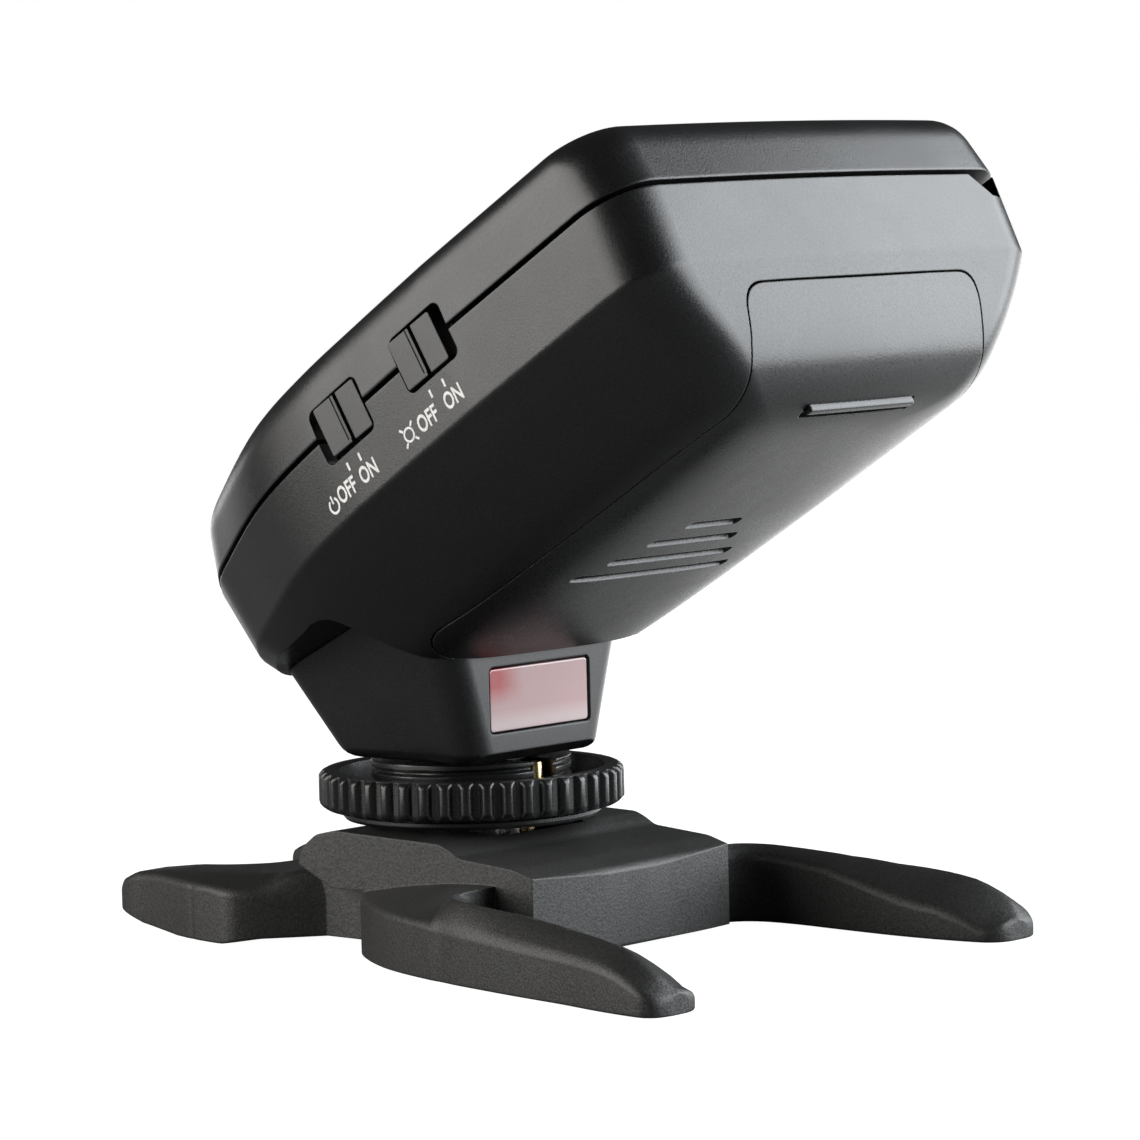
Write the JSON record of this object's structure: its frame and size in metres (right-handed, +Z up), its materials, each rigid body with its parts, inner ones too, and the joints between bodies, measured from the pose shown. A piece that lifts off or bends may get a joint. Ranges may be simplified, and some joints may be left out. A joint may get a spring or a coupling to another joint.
{
  "type": "wireless flash trigger",
  "caption": "Hot-shoe radio flash trigger with a tilted black case, side switches, battery door, screen and keys, clamped by its ring in a small four-footed stand.",
  "frame": {"origin": "middle of the whole object's footprint, on the surface that the stand's feet rest on", "axes": "+Z up; -Y is the front, towards the subject, where the case is high and the red window looks; +X is the side with the rubber flap and -X the side with the two switches"},
  "size_m": [0.0628, 0.0891, 0.0831],
  "materials": {
    "case_plastic": "fine moulded texture, satin black",
    "door_plastic": "fine moulded texture, satin black",
    "dark_plastic": "smooth satin black",
    "ring_plastic": "semi-gloss black",
    "stand_plastic": "textured black",
    "key_rubber": "soft-touch dark grey",
    "dial_plastic": "satin black",
    "flap_rubber": "matt black rubber",
    "screen_glass": "clear window",
    "screen_panel": "grey liquid-crystal panel",
    "window_red": "translucent red",
    "reflector_white": "white",
    "steel": "plain steel",
    "brass": "plated brass",
    "circuit_board": "green solder mask",
    "cell_wrap": "plain printed wrap without text"
  },
  "bodies": {
    "stand": {"stand_body": "stand_plastic", "stand_thread_insert": "brass"},
    "trigger": {"lower_shell": "case_plastic", "upper_cover": "case_plastic", "neck_housing": "dark_plastic", "battery_bay": "dark_plastic", "sync_socket": "dark_plastic", "shoe_boss": "ring_plastic", "lcd_window": "screen_glass", "lcd_panel": "screen_panel", "af_window": "window_red", "af_led": "window_red", "af_reflector": "reflector_white", "status_lamp": "reflector_white", "battery_contact_low": "steel", "battery_contact_high": "steel", "case_screw_1": "steel", "case_screw_2": "steel", "neck_screw_1": "steel", "neck_screw_2": "steel", "lamp_switch_body": "steel", "power_switch_body": "steel", "usb_socket": "steel", "shoe_foot": "steel", "contact_pin_1": "brass", "contact_pin_2": "brass", "contact_pin_3": "brass", "contact_pin_4": "brass", "contact_pin_5": "brass", "antenna": "brass", "main_board": "circuit_board", "battery_cell_right": "cell_wrap", "battery_cell_left": "cell_wrap"},
    "battery_door_panel": {"battery_door": "door_plastic", "door_hinge_pin_right": "steel", "door_hinge_pin_left": "steel"},
    "clamp": {"clamp_plate": "ring_plastic", "lock_pin": "brass"},
    "ring": {"lock_ring": "ring_plastic"},
    "flap": {"port_cover": "flap_rubber"},
    "dial": {"select_dial": "dial_plastic"},
    "lamp_knob": {"lamp_switch_knob": "dark_plastic"},
    "power_knob": {"power_switch_knob": "dark_plastic"},
    "key_group_1": {"group_button_1": "key_rubber"},
    "key_group_2": {"group_button_2": "key_rubber"},
    "key_group_3": {"group_button_3": "key_rubber"},
    "key_group_4": {"group_button_4": "key_rubber"},
    "key_group_5": {"group_button_5": "key_rubber"},
    "key_function_1": {"function_button_1": "key_rubber"},
    "key_function_2": {"function_button_2": "key_rubber"},
    "key_function_3": {"function_button_3": "key_rubber"},
    "key_function_4": {"function_button_4": "key_rubber"},
    "key_mode": {"mode_button": "key_rubber"},
    "key_zoom": {"zoom_button": "key_rubber"},
    "key_test": {"test_button": "key_rubber"},
    "key_set": {"set_button": "key_rubber"}
  },
  "joints": [
    {"name": "shoe_slide", "type": "slide", "parent": "stand", "child": "trigger", "axis": [0, 1, 0], "range_m": [0, 0.02]},
    {"name": "door_hinge", "type": "hinge", "parent": "trigger", "child": "battery_door_panel", "pos_m": [0, -0.04285, 0.06632], "axis": [1, 0, 0], "range_deg": [-105, 0]},
    {"name": "clamp_lift", "type": "slide", "parent": "trigger", "child": "clamp", "axis": [0, 0, 1], "range_m": [0, 0.0011]},
    {"name": "lock_ring_turn", "type": "hinge", "parent": "clamp", "child": "ring", "pos_m": [0, 0.0091, 0.0155], "axis": [0, 0, 1], "range_deg": [0, 330]},
    {"name": "flap_hinge", "type": "hinge", "parent": "trigger", "child": "flap", "pos_m": [0.0307, -0.01762, 0.06376], "axis": [0, 0.5225, 0.8526], "range_deg": [0, 115]},
    {"name": "dial_turn", "type": "hinge", "parent": "trigger", "child": "dial", "pos_m": [-0.0105, 0.01466, 0.05406], "axis": [0, 0.5225, 0.8526], "continuous": true},
    {"name": "lamp_switch_slide", "type": "slide", "parent": "trigger", "child": "lamp_knob", "axis": [0, -0.8526, 0.5225], "range_m": [0, 0.0013]},
    {"name": "power_switch_slide", "type": "slide", "parent": "trigger", "child": "power_knob", "axis": [0, -0.8526, 0.5225], "range_m": [-0.0013, 0]},
    {"name": "group_1_press", "type": "slide", "parent": "trigger", "child": "key_group_1", "axis": [0, -0.5225, -0.8526], "range_m": [0, 0.0004], "stiffness_N_per_m": 250},
    {"name": "group_2_press", "type": "slide", "parent": "trigger", "child": "key_group_2", "axis": [0, -0.5225, -0.8526], "range_m": [0, 0.0004], "stiffness_N_per_m": 250},
    {"name": "group_3_press", "type": "slide", "parent": "trigger", "child": "key_group_3", "axis": [0, -0.5225, -0.8526], "range_m": [0, 0.0004], "stiffness_N_per_m": 250},
    {"name": "group_4_press", "type": "slide", "parent": "trigger", "child": "key_group_4", "axis": [0, -0.5225, -0.8526], "range_m": [0, 0.0004], "stiffness_N_per_m": 250},
    {"name": "group_5_press", "type": "slide", "parent": "trigger", "child": "key_group_5", "axis": [0, -0.5225, -0.8526], "range_m": [0, 0.0004], "stiffness_N_per_m": 250},
    {"name": "function_1_press", "type": "slide", "parent": "trigger", "child": "key_function_1", "axis": [0, -0.5225, -0.8526], "range_m": [0, 0.0004], "stiffness_N_per_m": 250},
    {"name": "function_2_press", "type": "slide", "parent": "trigger", "child": "key_function_2", "axis": [0, -0.5225, -0.8526], "range_m": [0, 0.0004], "stiffness_N_per_m": 250},
    {"name": "function_3_press", "type": "slide", "parent": "trigger", "child": "key_function_3", "axis": [0, -0.5225, -0.8526], "range_m": [0, 0.0004], "stiffness_N_per_m": 250},
    {"name": "function_4_press", "type": "slide", "parent": "trigger", "child": "key_function_4", "axis": [0, -0.5225, -0.8526], "range_m": [0, 0.0004], "stiffness_N_per_m": 250},
    {"name": "mode_press", "type": "slide", "parent": "trigger", "child": "key_mode", "axis": [0, -0.5225, -0.8526], "range_m": [0, 0.0004], "stiffness_N_per_m": 250},
    {"name": "zoom_press", "type": "slide", "parent": "trigger", "child": "key_zoom", "axis": [0, -0.5225, -0.8526], "range_m": [0, 0.0004], "stiffness_N_per_m": 250},
    {"name": "test_press", "type": "slide", "parent": "trigger", "child": "key_test", "axis": [0, -0.5225, -0.8526], "range_m": [0, 0.0004], "stiffness_N_per_m": 250},
    {"name": "set_press", "type": "slide", "parent": "trigger", "child": "key_set", "axis": [0, -0.5225, -0.8526], "range_m": [0, 0.0004], "stiffness_N_per_m": 250}
  ],
  "couplings": [
    {"joint": "lock_ring_turn", "follows": "clamp_lift", "rad_per_m": 5236}
  ]
}
